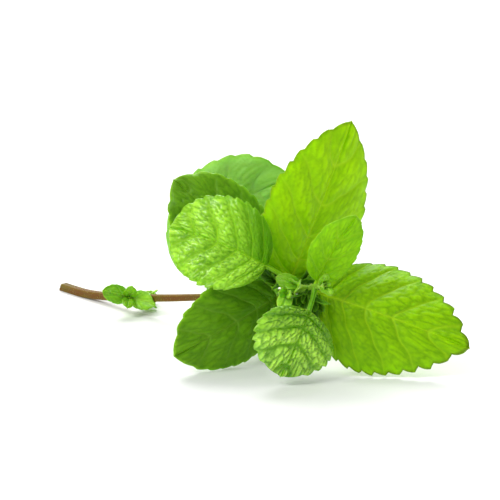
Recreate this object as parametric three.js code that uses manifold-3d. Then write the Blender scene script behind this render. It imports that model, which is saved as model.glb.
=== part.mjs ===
// A cut sprig of mint lying on a table, its leafy head propped on its own leaves.
// Millimetres and degrees, +Z up. The origin is on the table, under the part of the stem that lies flat,
// just in from the cut end. The stem runs from there towards +X and -Y, and rises to the head.
import * as THREE from 'three';
import Module from 'manifold-3d';
import { mergeVertices } from 'three/addons/utils/BufferGeometryUtils.js';

const wasm = await Module();
wasm.setup();

const UP = new THREE.Vector3(0, 0, 1);
const rad = THREE.MathUtils.degToRad;
const lerp = THREE.MathUtils.lerp;
const vec = (x, y, z) => new THREE.Vector3(x, y, z);

// ---- The stem ----
const HEADING = -47; // compass heading of the lying end, from +X
const LYING_LENGTH = 9; // the stretch of stem that lies flat
const CUT_SIDE = 2.8; // the square stem, flat to flat, at the cut
const TIP_SIDE = 1.5; // and just below the shoot tip
const CUT_SLANT = 0.5; // how far the cut leans in, per millimetre of height
const HEAD_TIP = vec(86, -96.5, 30); // where the stem ends and the shoot tip begins
const HEAD_AXIS = vec(0.34, -0.88, 0.33).normalize(); // the way the shoot tip looks
const RISE_REACH = 22; // how far the lying end keeps its heading as it starts to rise
const HEAD_REACH = 42; // how far back from the tip the stem keeps the tip's direction
const RING_STEP = 6; // between the stem's rings, away from its joints
const JOINT_SWELL = 0.28; // how much wider the stem is at a leaf joint
const JOINT_SPAN = 2.2; // half the length of that swelling
const GAP = 0.3; // between the stem and each leaf stalk or side shoot on it

// Distance of each leaf joint below the tip of the stem.
const JOINTS = { first: 4, second: 11, third: 23, fourth: 41, fifth: 63, sixth: 106 };

// ---- The leaves ----
// Where each grows, the clock direction it leaves in, seen by someone who looks at the shoot tip, and the
// angle it opens from the stem. bend is how far the midrib turns back from there to the tip (most of it near
// the tip where curl is over 1), sway how far it swings sideways, roll and twist turn the blade about its
// midrib, fold lifts each half, and droop lowers the edges again. Where they are not as usual, bare is the
// share of the length that is stalk, and point how strongly the outline narrows to the tip.
const LEAVES = [
  { name: 'leaf_1_upper', joint: 'first', clock: 22, open: 62, length: 28, width: 15.5, teeth: 8,
    bend: -18, sway: 6, roll: 2, twist: 0, fold: 22, droop: 1.5 },
  { name: 'leaf_1_lower', joint: 'first', clock: 215, open: 57, length: 32.5, width: 28, teeth: 9,
    bend: 76, sway: -10, roll: 7, twist: 0, fold: 6, droop: 3.0, bare: 0.3 },
  { name: 'leaf_2_right', joint: 'second', clock: 120, open: 59, length: 55.5, width: 37, teeth: 12,
    bend: 5, sway: 5, roll: 12, twist: -18, fold: 0, droop: 6.5, point: 0.9 },
  { name: 'leaf_2_left', joint: 'second', clock: 311, open: 104, length: 50, width: 30, teeth: 12,
    bend: 56, curl: 1.8, sway: -2, roll: 4, twist: 10, fold: 20, droop: 2.5, bare: 0.28 },
  { name: 'leaf_3_upper', joint: 'third', clock: 27, open: 70, length: 59, width: 35.5, teeth: 12,
    bend: 10, sway: 0, roll: 0, twist: 0, fold: 8, droop: 3.8, bare: 0.04, point: 0.78 },
  { name: 'leaf_3_lower', joint: 'third', clock: 250, open: 92, length: 43, width: 28, teeth: 10,
    bend: 26, sway: 0, roll: 10, twist: 0, fold: 6, droop: 2.5 },
  { name: 'leaf_4_left', joint: 'fourth', clock: 349, open: 86, length: 47, width: 31, teeth: 11,
    bend: 46, sway: -13, roll: 22, twist: 4, fold: 10, droop: 2.7 },
  { name: 'leaf_4_right', joint: 'fourth', clock: 145, open: 72, length: 36, width: 24, teeth: 10,
    bend: 30, sway: 0, roll: 0, twist: 0, fold: 8, droop: 2.0 },
  { name: 'leaf_5_upper', joint: 'fifth', clock: 8, open: 98, length: 54, width: 37, teeth: 12,
    bend: -88, sway: 40, roll: 52, twist: 0, fold: 8, droop: 3.2 },
  { name: 'leaf_5_lower', joint: 'fifth', clock: 205, open: 72, length: 30, width: 20, teeth: 9,
    bend: 40, sway: 0, roll: 0, twist: 0, fold: 8, droop: 2.0 },
];
const BLADE_THICKNESS = 0.7;
const STALK_RADIUS = 0.75;
const STALK_SHARE = 0.09; // of the leaf's length, for most leaves
const STALK_FULLNESS = 1.15; // how much rounder than a half disc the stalk's two faces are
const RIB_DEPTH = 0.85; // how far the midrib stands out under a blade, at its base
const ROUND_BASE = 0.52; // exponents of the outline towards the base and, for most leaves, towards the tip
const POINTED_TIP = 0.66;
const TIP_REACH = 0.14; // the last share of the blade, which narrows faster, and by what exponent
const TIP_SHARPNESS = 0.3;
const VEIN_SLANT = 0.8; // how far the side veins lean towards the tip
const VEIN_BOW = 1.3;
const TOOTH_PEAK = 0.7; // where along each tooth its point stands
const FIRST_ROW = 0.15; // how far into its first tooth a blade has its first row
const TOOTH_DEPTH = 0.065; // of the blade's half width
const TOOTH_LEAN = 0.5; // how far a tooth's point leans forward, in tooth depths
const QUILT = 0.05; // rise of the blade between its side veins, of the half width
const FOLD_FADE = 0.35; // the share of the fold that is gone at the tip
const TABLE_SOFTNESS = 0.5; // how gently a blade that reaches the table is turned along it
const MIDRIB_STEPS = 60;
const LARGE_COLUMNS = [0, 0.28, 0.62, 1]; // places across half a blade

// ---- The shoot tip, and the side shoots in the axils ----
// A shoot is a short stub with pairs of leaves, each pair turned a quarter from the one before it, shorter
// and more closed. lean is a side shoot's angle from the stem, and open the angle of its first pair.
const SHOOT_TIP = { radius: 0.8, stub: 2, clock: 170, open: 26, length: 6.5, teeth: 4 };
const SIDE_SHOOTS = [
  { name: 'side_shoot_2l', joint: 'second', clock: 284, lean: 62, stub: 6, open: 26, length: 9, teeth: 4 },
  { name: 'side_shoot_3', joint: 'third', clock: 66, lean: 50, stub: 5, open: 28, length: 8.5, teeth: 4 },
  { name: 'side_shoot_4l', joint: 'fourth', clock: 325, lean: 38, stub: 5, open: 42, length: 11, teeth: 4 },
  { name: 'side_shoot_4r', joint: 'fourth', clock: 145, lean: 34, stub: 4, open: 38, length: 8, teeth: 3 },
  { name: 'side_shoot_5', joint: 'fifth', clock: 205, lean: 30, stub: 4, open: 38, length: 8, teeth: 3 },
  { name: 'side_shoot_6l', joint: 'sixth', clock: 285, lean: 42, stub: 5, open: 48, length: 12, teeth: 4 },
  { name: 'side_shoot_6r', joint: 'sixth', clock: 105, lean: 42, stub: 5, open: 48, length: 10, teeth: 4 },
];
const SIDE_RADIUS = 0.6;
const TIP_PAIRS = 3;
const SIDE_PAIRS = 2;
const TIP_COLUMNS = [0, 0.5, 1];
const SIDE_COLUMNS = [0, 1];
const AXIL_HEIGHT = 2.6; // how far above its leaf a side shoot leaves the stem
const PAIR_SHRINK = 0.66; // each pair's length against the pair before it
const PAIR_CLOSE = 0.62; // and its opening angle
const PAIR_BEND = 12; // how far the first pair bends back
const PAIR_UNBEND = 26; // and how much of that is gone over all the pairs
const FIRST_PAIR = 0.72; // where on the stub the first pair grows
const YOUNG_SHAPE = 0.56; // a young leaf's width against its length
const YOUNG_LEAF = { sway: 0, roll: 0, twist: 0, droop: 0.4, stalk: 0.5, thickness: 0.6 };

// ---- Solids ----

/** A geometry from points and triangles that name them. */
function closedGeometry(points, faces) {
  const geometry = new THREE.BufferGeometry();
  const numbers = points.flatMap((p) => p.toArray());
  geometry.setAttribute('position', new THREE.Float32BufferAttribute(numbers, 3));
  geometry.setIndex(faces.flat());
  return geometry;
}

/** A closed mesh from rings of points: the rings are joined in turn and the two ends are capped. */
function loft(rings) {
  const sides = rings[0].length;
  const last = (rings.length - 1) * sides;
  const faces = [];
  for (let i = 0; i + 1 < rings.length; i++) {
    for (let j = 0; j < sides; j++) {
      const a = i * sides + j;
      const b = i * sides + ((j + 1) % sides);
      faces.push([a, b, b + sides], [a, b + sides, a + sides]);
    }
  }
  for (let j = 1; j + 1 < sides; j++) {
    faces.push([0, j + 1, j], [last, last + j, last + j + 1]);
  }
  return closedGeometry(rings.flat(), faces);
}

/** The manifold-3d solid of a closed geometry. */
function solidOf(geometry) {
  const merged = mergeVertices(geometry, 1e-4);
  return new wasm.Manifold(new wasm.Mesh({
    numProp: 3,
    vertProperties: new Float32Array(merged.attributes.position.array),
    triVerts: new Uint32Array(merged.index.array),
  }));
}

/** The geometry of a manifold-3d solid. */
function geometryOf(solid) {
  const mesh = solid.getMesh();
  const geometry = new THREE.BufferGeometry();
  geometry.setAttribute('position', new THREE.BufferAttribute(mesh.vertProperties, 3));
  geometry.setIndex(new THREE.BufferAttribute(mesh.triVerts, 1));
  return geometry;
}

/** A point moved along several directions, given as pairs of direction and distance. */
function moved(point, ...moves) {
  return moves.reduce((p, [direction, distance]) => p.addScaledVector(direction, distance), point.clone());
}

/** The unit vector a, turned by an angle towards the unit vector b. */
function turned(a, b, angle) {
  return a.clone().multiplyScalar(Math.cos(angle)).addScaledVector(b, Math.sin(angle));
}

// ---- The stem ----
const heading = vec(Math.cos(rad(HEADING)), Math.sin(rad(HEADING)), 0);
const overOrigin = vec(0, 0, CUT_SIDE / 2);
const lyingEnd = moved(overOrigin, [heading, LYING_LENGTH / 2]);
const lying = new THREE.LineCurve3(moved(overOrigin, [heading, -LYING_LENGTH / 2]), lyingEnd);
const rising = new THREE.CubicBezierCurve3(
  lyingEnd,
  moved(lyingEnd, [heading, RISE_REACH]),
  moved(HEAD_TIP, [HEAD_AXIS, -HEAD_REACH]),
  HEAD_TIP,
);
rising.arcLengthDivisions = 400;
const RISING_LENGTH = rising.getLength();
const STEM_LENGTH = LYING_LENGTH + RISING_LENGTH;

/** The stem's middle at a distance below its tip, its direction there, and across it up and to the right. */
function stemAt(belowTip) {
  const fromCut = STEM_LENGTH - belowTip;
  const onLying = fromCut <= LYING_LENGTH;
  const curve = onLying ? lying : rising;
  const share = onLying ? fromCut / LYING_LENGTH : Math.min(1, (fromCut - LYING_LENGTH) / RISING_LENGTH);
  const along = curve.getTangentAt(share).normalize();
  const up = moved(UP, [along, -UP.dot(along)]).normalize();
  const right = new THREE.Vector3().crossVectors(along.clone().negate(), up);
  return { middle: curve.getPointAt(share), along, up, right };
}

/** Half the stem's width at a distance below its tip, swollen at each joint. */
function stemHalfSide(belowTip) {
  const half = lerp(TIP_SIDE, CUT_SIDE, Math.min(1, belowTip / RISING_LENGTH)) / 2;
  const swells = Object.values(JOINTS).map((joint) => {
    const away = Math.min(1, Math.abs(belowTip - joint) / JOINT_SPAN);
    return Math.cos((away * Math.PI) / 2) ** 2;
  });
  return half * (1 + JOINT_SWELL * Math.max(...swells));
}

// Four flat sides, each from -SIDE_FLAT to +SIDE_FLAT degrees about its middle, and a point at each corner.
const SIDE_FLAT = 27;
const CORNER_REACH = 1.24;
const STEM_SECTION = [0, 90, 180, 270].flatMap((side) => [
  { angle: side - SIDE_FLAT, reach: 1 / Math.cos(rad(SIDE_FLAT)) },
  { angle: side + SIDE_FLAT, reach: 1 / Math.cos(rad(SIDE_FLAT)) },
  { angle: side + 45, reach: CORNER_REACH },
]);

/** One ring of the stem, grown by extra all round. The ring at the cut leans in with its height. */
function stemRing(belowTip, extra) {
  const { middle, along, up, right } = stemAt(belowTip);
  const half = stemHalfSide(belowTip) + extra;
  const slant = belowTip === STEM_LENGTH ? CUT_SLANT : 0;
  return STEM_SECTION.map(({ angle, reach }) => {
    const across = half * reach * Math.cos(rad(angle));
    const above = half * reach * Math.sin(rad(angle));
    return moved(middle, [right, across], [up, above], [along, slant * above]);
  });
}

/** The distances below the tip at which the stem has a ring: even steps, and more of them at the joints. */
function stemStations() {
  const swelling = [-1, -0.5, 0, 0.5, 1].map((k) => k * JOINT_SPAN);
  const atJoints = Object.values(JOINTS).flatMap((joint) => swelling.map((d) => joint + d));
  const steps = Math.ceil(RISING_LENGTH / RING_STEP);
  const even = Array.from({ length: steps + 1 }, (_, k) => (k / steps) * RISING_LENGTH);
  const between = even.filter((d) => atJoints.every((r) => Math.abs(r - d) > JOINT_SPAN / 2));
  return [...between, ...atJoints, STEM_LENGTH].sort((a, b) => b - a);
}

function stemGeometry(extra = 0) {
  return loft(stemStations().map((d) => stemRing(d, extra)));
}

// ---- A leaf ----

/** How a shoot or leaf leaves the stem: its direction, the way its upper face looks, and its right. */
function branchFrame(node, clock, open) {
  const out = turned(node.up, node.right, rad(clock));
  const along = turned(node.along, out, rad(open));
  const face = turned(node.along, out.negate(), rad(90 - open));
  return { along, face, side: new THREE.Vector3().crossVectors(along, face) };
}

/** The midrib as places and frames at equal steps, from the leaf's start in its frame. */
function midrib(start, frame, leaf) {
  const places = [];
  let point = start;
  for (let i = 0; i <= MIDRIB_STEPS; i++) {
    const u = i / MIDRIB_STEPS;
    const bend = rad(leaf.bend) * u ** (leaf.curl ?? 1);
    const sway = rad(leaf.sway) * u;
    const turn = rad(leaf.roll + leaf.twist * u);
    const bent = turned(frame.along, frame.face, -bend);
    const face = turned(frame.face, frame.along, bend);
    const along = turned(bent, frame.side, sway);
    const side = turned(frame.side, bent, -sway);
    places.push({ point, along, face: turned(face, side, -turn), side: turned(side, face, turn) });
    point = moved(point, [along, leaf.length / MIDRIB_STEPS]);
  }
  return places;
}

/** The midrib's place and frame at a share of its length. */
function midribAt(places, u) {
  const at = Math.min(u, 1) * MIDRIB_STEPS;
  const i = Math.min(Math.floor(at), MIDRIB_STEPS - 1);
  const mixed = (key) => places[i][key].clone().lerp(places[i + 1][key], at - i);
  return { point: mixed('point'), face: mixed('face'), side: mixed('side') };
}

/** Half the outline's width at share v of the blade's length, as a share of its widest. */
function outline(v, point) {
  const widest = ROUND_BASE / (ROUND_BASE + point);
  const shape = (x) => x ** ROUND_BASE * (1 - x) ** point;
  return (shape(v) / shape(widest)) * Math.min(1, (1 - v) / TIP_REACH) ** TIP_SHARPNESS;
}

/** The two faces of a blade at one place, lifted where they would sink into the table. */
function onTable(top, bottom) {
  const lowest = Math.min(top.z, bottom.z);
  const lift = (Math.hypot(lowest, TABLE_SOFTNESS) - lowest) / 2;
  return [moved(top, [UP, lift]), moved(bottom, [UP, lift])];
}

/** The rows of a blade, from its stalk to its last tooth: share of its length, and place on the tooth. */
function toothRows(teeth) {
  const rows = Array.from({ length: teeth }, (_, k) => [
    { v: (k || FIRST_ROW) / teeth, tooth: -0.5 },
    { v: (k + TOOTH_PEAK) / teeth, tooth: 0.5 },
  ]);
  return rows.flat();
}

/** A row of the stalk: its two faces make a round bar as wide as the blade's base. */
function stalkRow({ point, face, side }, shares, radius) {
  return shares.map((t) => {
    const middle = moved(point, [side, t * radius]);
    const half = radius * Math.sqrt(STALK_FULLNESS - t * t);
    return [moved(middle, [face, half]), moved(middle, [face, -half])];
  });
}

/** A row of the blade: folded at the midrib, arched down to its edges, raised between its side veins. */
function bladeRow(places, leaf, shares, { v, tooth }) {
  const halfWidth = leaf.width / 2;
  const here = lerp(leaf.stalk, halfWidth, outline(v, leaf.point));
  const fade = Math.min(1, 4 * v) * Math.min(1, 5 * (1 - v) + 0.4);
  const edge = TOOTH_DEPTH * halfWidth * fade * tooth;
  const veinRoot = v - VEIN_SLANT * v * (1 - v);
  const swell = QUILT * halfWidth * Math.abs(Math.sin((Math.PI * leaf.teeth * v) / 2));
  return shares.map((t) => {
    const m = Math.abs(t);
    const across = m * here + (m === 1 ? edge : 0);
    const along = lerp(veinRoot, v, m ** VEIN_BOW);
    const lean = m === 1 ? (TOOTH_LEAN * edge) / leaf.length : 0;
    const { point, face, side } = midribAt(places, lerp(leaf.bare, 1, along) + lean);
    const fold = rad(leaf.fold) * (1 - FOLD_FADE * along) * Math.sign(t);
    const above = turned(face, side, -fold);
    const quilt = swell * Math.min(1, 5 * m) * (1 - m ** 3);
    const surface = moved(
      point,
      [turned(side, face, fold), Math.sign(t) * across],
      [above, quilt - leaf.droop * (across / halfWidth) ** 2],
    );
    const rib = m === 0 ? RIB_DEPTH * Math.max(0, 1 - v) : 0;
    const half = leaf.thickness / 2;
    return onTable(moved(surface, [above, half]), moved(surface, [above, -half - rib]));
  });
}

/** The closed geometry of a leaf that starts at a point in a frame. */
function leafGeometry(start, frame, leaf, columns = LARGE_COLUMNS) {
  const usual = { stalk: STALK_RADIUS, thickness: BLADE_THICKNESS, bare: STALK_SHARE, point: POINTED_TIP };
  const sized = { ...usual, ...leaf };
  const places = midrib(start, frame, sized);
  const shares = [...columns.slice(1).reverse().map((t) => -t), ...columns];
  const rows = [
    stalkRow(midribAt(places, 0), shares, sized.stalk),
    stalkRow(midribAt(places, sized.bare / 2), shares, sized.stalk),
    ...toothRows(sized.teeth).map((row) => bladeRow(places, sized, shares, row)),
  ];
  const end = midribAt(places, 1);
  const half = sized.thickness / 2;
  return bladeMesh(rows, onTable(moved(end.point, [end.face, half]), moved(end.point, [end.face, -half])));
}

/** Joins rows of [top, bottom] points and a tip into one closed geometry, split alike on both faces. */
function bladeMesh(rows, tip) {
  const width = rows[0].length;
  const right = width - 1;
  const points = [...rows.flat(2), ...tip];
  const top = (i, j) => 2 * (i * width + j);
  const bottom = (i, j) => top(i, j) + 1;
  const [tipTop, tipBottom] = [points.length - 2, points.length - 1];
  const faces = [];
  const onBoth = (a, b, c) => {
    faces.push([top(...a), top(...b), top(...c)]);
    faces.push([bottom(...a), bottom(...c), bottom(...b)]);
  };
  const wall = (a, b, c, d) => faces.push([a, b, c], [a, c, d]);
  for (let i = 0; i + 1 < rows.length; i++) {
    for (let j = 0; j < right; j++) {
      const corners = [[i, j], [i, j + 1], [i + 1, j + 1], [i + 1, j]];
      const first = j < right / 2 ? 1 : 0;
      const corner = (k) => corners[(first + k) % 4];
      onBoth(corner(0), corner(1), corner(2));
      onBoth(corner(0), corner(2), corner(3));
    }
    wall(top(i, 0), top(i + 1, 0), bottom(i + 1, 0), bottom(i, 0));
    wall(top(i, right), bottom(i, right), bottom(i + 1, right), top(i + 1, right));
  }
  const last = rows.length - 1;
  for (let j = 0; j < right; j++) {
    faces.push([top(last, j), top(last, j + 1), tipTop]);
    faces.push([bottom(last, j), tipBottom, bottom(last, j + 1)]);
    wall(top(0, j), bottom(0, j), bottom(0, j + 1), top(0, j + 1));
  }
  wall(top(last, 0), tipTop, tipBottom, bottom(last, 0));
  wall(top(last, right), bottom(last, right), tipBottom, tipTop);
  return closedGeometry(points, faces);
}

// ---- A shoot ----

/** A short round stub that starts at a point and follows axis, in a frame across it. */
function stubGeometry(start, { along, up, right }, radius, length) {
  const ring = (distance, r) => [0, 60, 120, 180, 240, 300].map((angle) => moved(
    start,
    [along, distance],
    [right, r * Math.cos(rad(angle))],
    [up, r * Math.sin(rad(angle))],
  ));
  return loft([ring(0, radius), ring(length, 0.85 * radius), ring(length + 2 * radius, 0.4 * radius)]);
}

/** A stub with its pairs of young leaves, fused into one solid. */
function shootSolid(start, axis, radius, shoot, pairs, columns) {
  const up = moved(UP, [axis, -UP.dot(axis)]).normalize();
  const node = { along: axis, up, right: new THREE.Vector3().crossVectors(axis.clone().negate(), up) };
  let solid = solidOf(stubGeometry(start, node, radius, shoot.stub));
  for (let pair = 0; pair < pairs; pair++) {
    const root = moved(start, [axis, shoot.stub * lerp(FIRST_PAIR, 1, pair / pairs)]);
    const length = shoot.length * PAIR_SHRINK ** pair;
    const leaf = {
      ...YOUNG_LEAF,
      length,
      width: length * YOUNG_SHAPE,
      teeth: Math.max(2, shoot.teeth - pair),
      bend: PAIR_BEND - PAIR_UNBEND * (pair / pairs),
      fold: 20 + 10 * pair,
    };
    for (const across of [0, 180]) {
      const frame = branchFrame(node, shoot.clock + 90 * pair + across, shoot.open * PAIR_CLOSE ** pair);
      solid = solid.add(solidOf(leafGeometry(root, frame, leaf, columns)));
    }
  }
  return solid;
}

// ---- The sprig ----

/** A leaf's or stem's material. */
function finish(name, color, roughness) {
  return new THREE.MeshStandardMaterial({ name, color, roughness, metalness: 0 });
}

const STEM = finish('stem', 0x7f7a3a, 0.6);
const LEAF = finish('leaf', 0x74b81c, 0.5);
const YOUNG = finish('young_leaf', 0x8fcb3a, 0.5);

const sprig = new THREE.Group();
sprig.name = 'mint_sprig';

/** Adds a mesh to the sprig, with a material of its own. */
function addMesh(name, geometry, material) {
  geometry.computeVertexNormals();
  const mesh = new THREE.Mesh(geometry, material.clone());
  mesh.name = name;
  sprig.add(mesh);
}

addMesh('stem', stemGeometry(), STEM);
const stemClearance = solidOf(stemGeometry(GAP));

/** The geometry of a solid less the stem and the gap round it, without the stub that was inside the stem. */
function besideStem(solid) {
  const pieces = solid.subtract(stemClearance).decompose();
  pieces.sort((a, b) => b.volume() - a.volume());
  return geometryOf(pieces[0]);
}

for (const leaf of LEAVES) {
  const node = stemAt(JOINTS[leaf.joint]);
  const frame = branchFrame(node, leaf.clock, leaf.open);
  addMesh(leaf.name, besideStem(solidOf(leafGeometry(node.middle, frame, leaf))), LEAF);
}

const tipStart = moved(HEAD_TIP, [HEAD_AXIS, GAP]);
const shootTip = shootSolid(tipStart, HEAD_AXIS, SHOOT_TIP.radius, SHOOT_TIP, TIP_PAIRS, TIP_COLUMNS);
addMesh('shoot_tip', besideStem(shootTip), YOUNG);

for (const shoot of SIDE_SHOOTS) {
  const node = stemAt(JOINTS[shoot.joint] - AXIL_HEIGHT);
  const axis = branchFrame(node, shoot.clock, shoot.lean).along;
  const solid = shootSolid(node.middle, axis, SIDE_RADIUS, shoot, SIDE_PAIRS, SIDE_COLUMNS);
  addMesh(shoot.name, besideStem(solid), YOUNG);
}

export default sprig;
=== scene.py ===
"""A cut sprig of mint that lies on a table, its leafy head propped on its own leaves.

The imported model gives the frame: one node for the stem, one for each leaf and one for each young shoot. This
script stands a finer surface in the place of every node, worked out from the same driving dimensions, and
gives it its finish. Sizes are millimetres and degrees, +Z up, and become metres as a mesh is made.
"""

import logging
from dataclasses import dataclass, field, replace
from enum import Enum

import bpy
import numpy as np
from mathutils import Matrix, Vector


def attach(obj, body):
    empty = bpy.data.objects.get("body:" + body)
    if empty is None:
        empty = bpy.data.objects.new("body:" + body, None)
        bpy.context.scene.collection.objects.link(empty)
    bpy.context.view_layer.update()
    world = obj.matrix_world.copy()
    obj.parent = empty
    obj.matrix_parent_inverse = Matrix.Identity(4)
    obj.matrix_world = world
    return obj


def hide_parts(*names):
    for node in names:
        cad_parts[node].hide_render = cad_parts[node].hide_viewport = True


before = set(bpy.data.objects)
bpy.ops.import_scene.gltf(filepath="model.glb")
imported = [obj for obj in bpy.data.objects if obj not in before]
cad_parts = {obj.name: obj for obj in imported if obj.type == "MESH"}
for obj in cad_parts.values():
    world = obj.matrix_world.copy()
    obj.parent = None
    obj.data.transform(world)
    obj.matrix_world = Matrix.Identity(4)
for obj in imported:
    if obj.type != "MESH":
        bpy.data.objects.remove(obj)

BODY = "root"
METRE = 0.001  # metres in one of this script's units
UP = np.array([0.0, 0.0, 1.0])
SEED = 20  # every random draw starts from it
WHITE = (1.0, 1.0, 1.0, 1.0)
BUMP_DEPTH = 0.0002  # metres
SCATTER_DEPTH = 0.0005  # metres, how far light spreads under a skin

log = logging.getLogger("mint sprig")
Array = np.ndarray
Colour = tuple[float, float, float, float]


# ---- Arithmetic on whole arrays ----

def unit(vector: Array) -> Array:
    """Vectors of length one, along the last axis."""
    return vector / np.linalg.norm(vector, axis=-1, keepdims=True)


def lerp(a: float | Array, b: float | Array, share: float | Array) -> float | Array:
    """The value at a share of the way from a to b."""
    return a + (b - a) * share


def ease(x: float | Array) -> Array:
    """0 below 0, 1 above 1, and a smooth S between them."""
    held = np.clip(x, 0.0, 1.0)
    return held * held * (3.0 - 2.0 * held)


def bell(x: float | Array) -> Array:
    """A smooth bump: 1 at 0, about a third at 1, and nothing from 2 on."""
    return np.exp(-np.square(x))


def turned(a: Array, b: Array, degrees: float | Array) -> Array:
    """Unit vectors a turned by an angle towards unit vectors b that stand square to them."""
    angle = np.radians(np.asarray(degrees, float))[..., None]
    return a * np.cos(angle) + b * np.sin(angle)


def cell_relief(a: Array, b: Array, seed: int) -> Array:
    """How far each place is inside its cell of an uneven net.

    One point is drawn in each square of a unit grid, and the grid is bent by a few sines. The result is the
    distance to the second nearest point less the distance to the nearest: 0 on the line between two cells,
    and largest in the middle of one.

    Args:
        a: First coordinate, in cells.
        b: Second coordinate, in cells.
        seed: Picks the net.

    Returns:
        The relief, in cells, in the shape of a and b.
    """
    wrap = 64
    drawn = np.random.default_rng(seed).random((wrap, wrap, 2))
    a, b = (
        a + 0.20 * np.sin(1.9 * b + 0.8 * a + seed) + 0.10 * np.sin(4.3 * b - 2.9 * a),
        b + 0.20 * np.sin(2.1 * a - 0.7 * b + seed) + 0.10 * np.sin(4.7 * a + 3.1 * b),
    )
    first, second = np.floor(a).astype(int), np.floor(b).astype(int)
    nearest = np.full(a.shape, 9.0)
    next_nearest = np.full(a.shape, 9.0)
    for da in (-1, 0, 1):
        for db in (-1, 0, 1):
            place = drawn[(first + da) % wrap, (second + db) % wrap]
            distance = np.hypot(first + da + place[..., 0] - a, second + db + place[..., 1] - b)
            next_nearest = np.minimum(next_nearest, np.maximum(nearest, distance))
            nearest = np.minimum(nearest, distance)
    return next_nearest - nearest


# ---- Meshes ----

@dataclass
class Skin:
    """A closed surface: points in millimetres, four- and three-sided faces, and values kept at the points."""

    points: Array
    quads: Array
    triangles: Array
    marks: dict[str, Array] = field(default_factory=dict)

    @staticmethod
    def joined(parts: list["Skin"]) -> "Skin":
        """Several surfaces as one.

        Args:
            parts: The surfaces. All of them keep the same marks.

        Returns:
            One surface, with the parts' points and faces in turn.
        """
        starts = np.cumsum([0] + [len(part.points) for part in parts])
        return Skin(
            np.concatenate([part.points for part in parts]),
            np.concatenate([part.quads + start for part, start in zip(parts, starts)]),
            np.concatenate([part.triangles + start for part, start in zip(parts, starts)]),
            {key: np.concatenate([part.marks[key] for part in parts]) for key in parts[0].marks},
        )

    def mesh(self, name: str) -> bpy.types.Mesh:
        """The Blender mesh of the surface, in metres, smooth, with its marks as point attributes.

        Args:
            name: The mesh's name.

        Returns:
            The mesh.
        """
        mesh = bpy.data.meshes.new(name)
        corners = np.concatenate([self.quads.ravel(), self.triangles.ravel()])
        starts = np.concatenate([
            4 * np.arange(len(self.quads)),
            4 * len(self.quads) + 3 * np.arange(len(self.triangles)),
        ])
        mesh.vertices.add(len(self.points))
        mesh.vertices.foreach_set("co", (self.points * METRE).astype(np.float32).ravel())
        mesh.loops.add(len(corners))
        mesh.loops.foreach_set("vertex_index", corners.astype(np.int32))
        mesh.polygons.add(len(starts))
        mesh.polygons.foreach_set("loop_start", starts.astype(np.int32))
        mesh.polygons.foreach_set("use_smooth", np.ones(len(starts), bool))
        mesh.update(calc_edges=True)
        for key, values in self.marks.items():
            kind = "FLOAT" if values.ndim == 1 else "FLOAT_VECTOR"
            mark = mesh.attributes.new(key, kind, "POINT")
            mark.data.foreach_set("value" if kind == "FLOAT" else "vector", values.astype(np.float32).ravel())
        return mesh


def place_piece(name: str, skin: Skin, material: bpy.types.Material, node: str = "") -> None:
    """Puts a surface in the scene as a piece that moves with the sprig.

    Args:
        name: The piece's name.
        skin: Its surface.
        material: Its finish.
        node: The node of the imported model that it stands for, if there is one.
    """
    piece = bpy.data.objects.new(name, skin.mesh(name))
    piece.data.materials.append(material)
    bpy.context.scene.collection.objects.link(piece)
    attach(piece, BODY)
    if node:
        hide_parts(node)
    log.info("%s: %d points, %d faces", name, len(skin.points), len(piece.data.polygons))


def sheet_faces(rows: int, columns: int) -> tuple[Array, Array]:
    """The faces of a closed sheet with an upper and a lower grid, a rim round both and one point at its tip.

    The points stand in this order: the upper grid row by row, the lower grid row by row, the tip.

    Args:
        rows: Rows of each grid, from the stalk to the tip.
        columns: Points in a row.

    Returns:
        The four-sided faces and the three-sided faces.
    """
    upper = np.arange(rows * columns).reshape(rows, columns)
    lower = upper + rows * columns
    tip = 2 * rows * columns
    quads = [
        np.stack([upper[:-1, :-1], upper[:-1, 1:], upper[1:, 1:], upper[1:, :-1]], -1),
        np.stack([lower[:-1, :-1], lower[1:, :-1], lower[1:, 1:], lower[:-1, 1:]], -1),
        np.stack([upper[:-1, 0], upper[1:, 0], lower[1:, 0], lower[:-1, 0]], -1),
        np.stack([upper[:-1, -1], lower[:-1, -1], lower[1:, -1], upper[1:, -1]], -1),
        np.stack([upper[0, :-1], lower[0, :-1], lower[0, 1:], upper[0, 1:]], -1),
    ]
    at_tip = np.full(columns - 1, tip)
    triangles = [
        np.stack([upper[-1, :-1], upper[-1, 1:], at_tip], -1),
        np.stack([lower[-1, :-1], at_tip, lower[-1, 1:]], -1),
        np.array([[upper[-1, 0], tip, lower[-1, 0]], [upper[-1, -1], lower[-1, -1], tip]]),
    ]
    return np.concatenate([q.reshape(-1, 4) for q in quads]), np.concatenate(triangles)


def ring_faces(rings: int, sides: int) -> tuple[Array, Array]:
    """The faces of a closed body made of rings of points with one point at each end.

    The points stand in this order: the rings in turn, the point at the first end, the point at the last end.

    Args:
        rings: How many rings.
        sides: Points in a ring.

    Returns:
        The four-sided faces and the three-sided faces.
    """
    grid = np.arange(rings * sides).reshape(rings, sides)
    after = np.roll(grid, -1, axis=1)
    quads = np.stack([grid[:-1], after[:-1], after[1:], grid[1:]], -1).reshape(-1, 4)
    first = np.full(sides, rings * sides)
    triangles = [
        np.stack([first, after[0], grid[0]], -1),
        np.stack([first + 1, grid[-1], after[-1]], -1),
    ]
    return quads, np.concatenate(triangles)


# ---- Finishes ----

def srgb(red: int, green: int, blue: int) -> Colour:
    """A colour given in 8-bit sRGB values, as Blender's linear colour.

    Args:
        red: Red, from 0 to 255.
        green: Green.
        blue: Blue.

    Returns:
        Linear red, green, blue and a full alpha.
    """
    shares = np.array([red, green, blue]) / 255.0
    linear = np.where(shares <= 0.04045, shares / 12.92, ((shares + 0.055) / 1.055) ** 2.4)
    return (*(float(v) for v in linear), 1.0)


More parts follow.
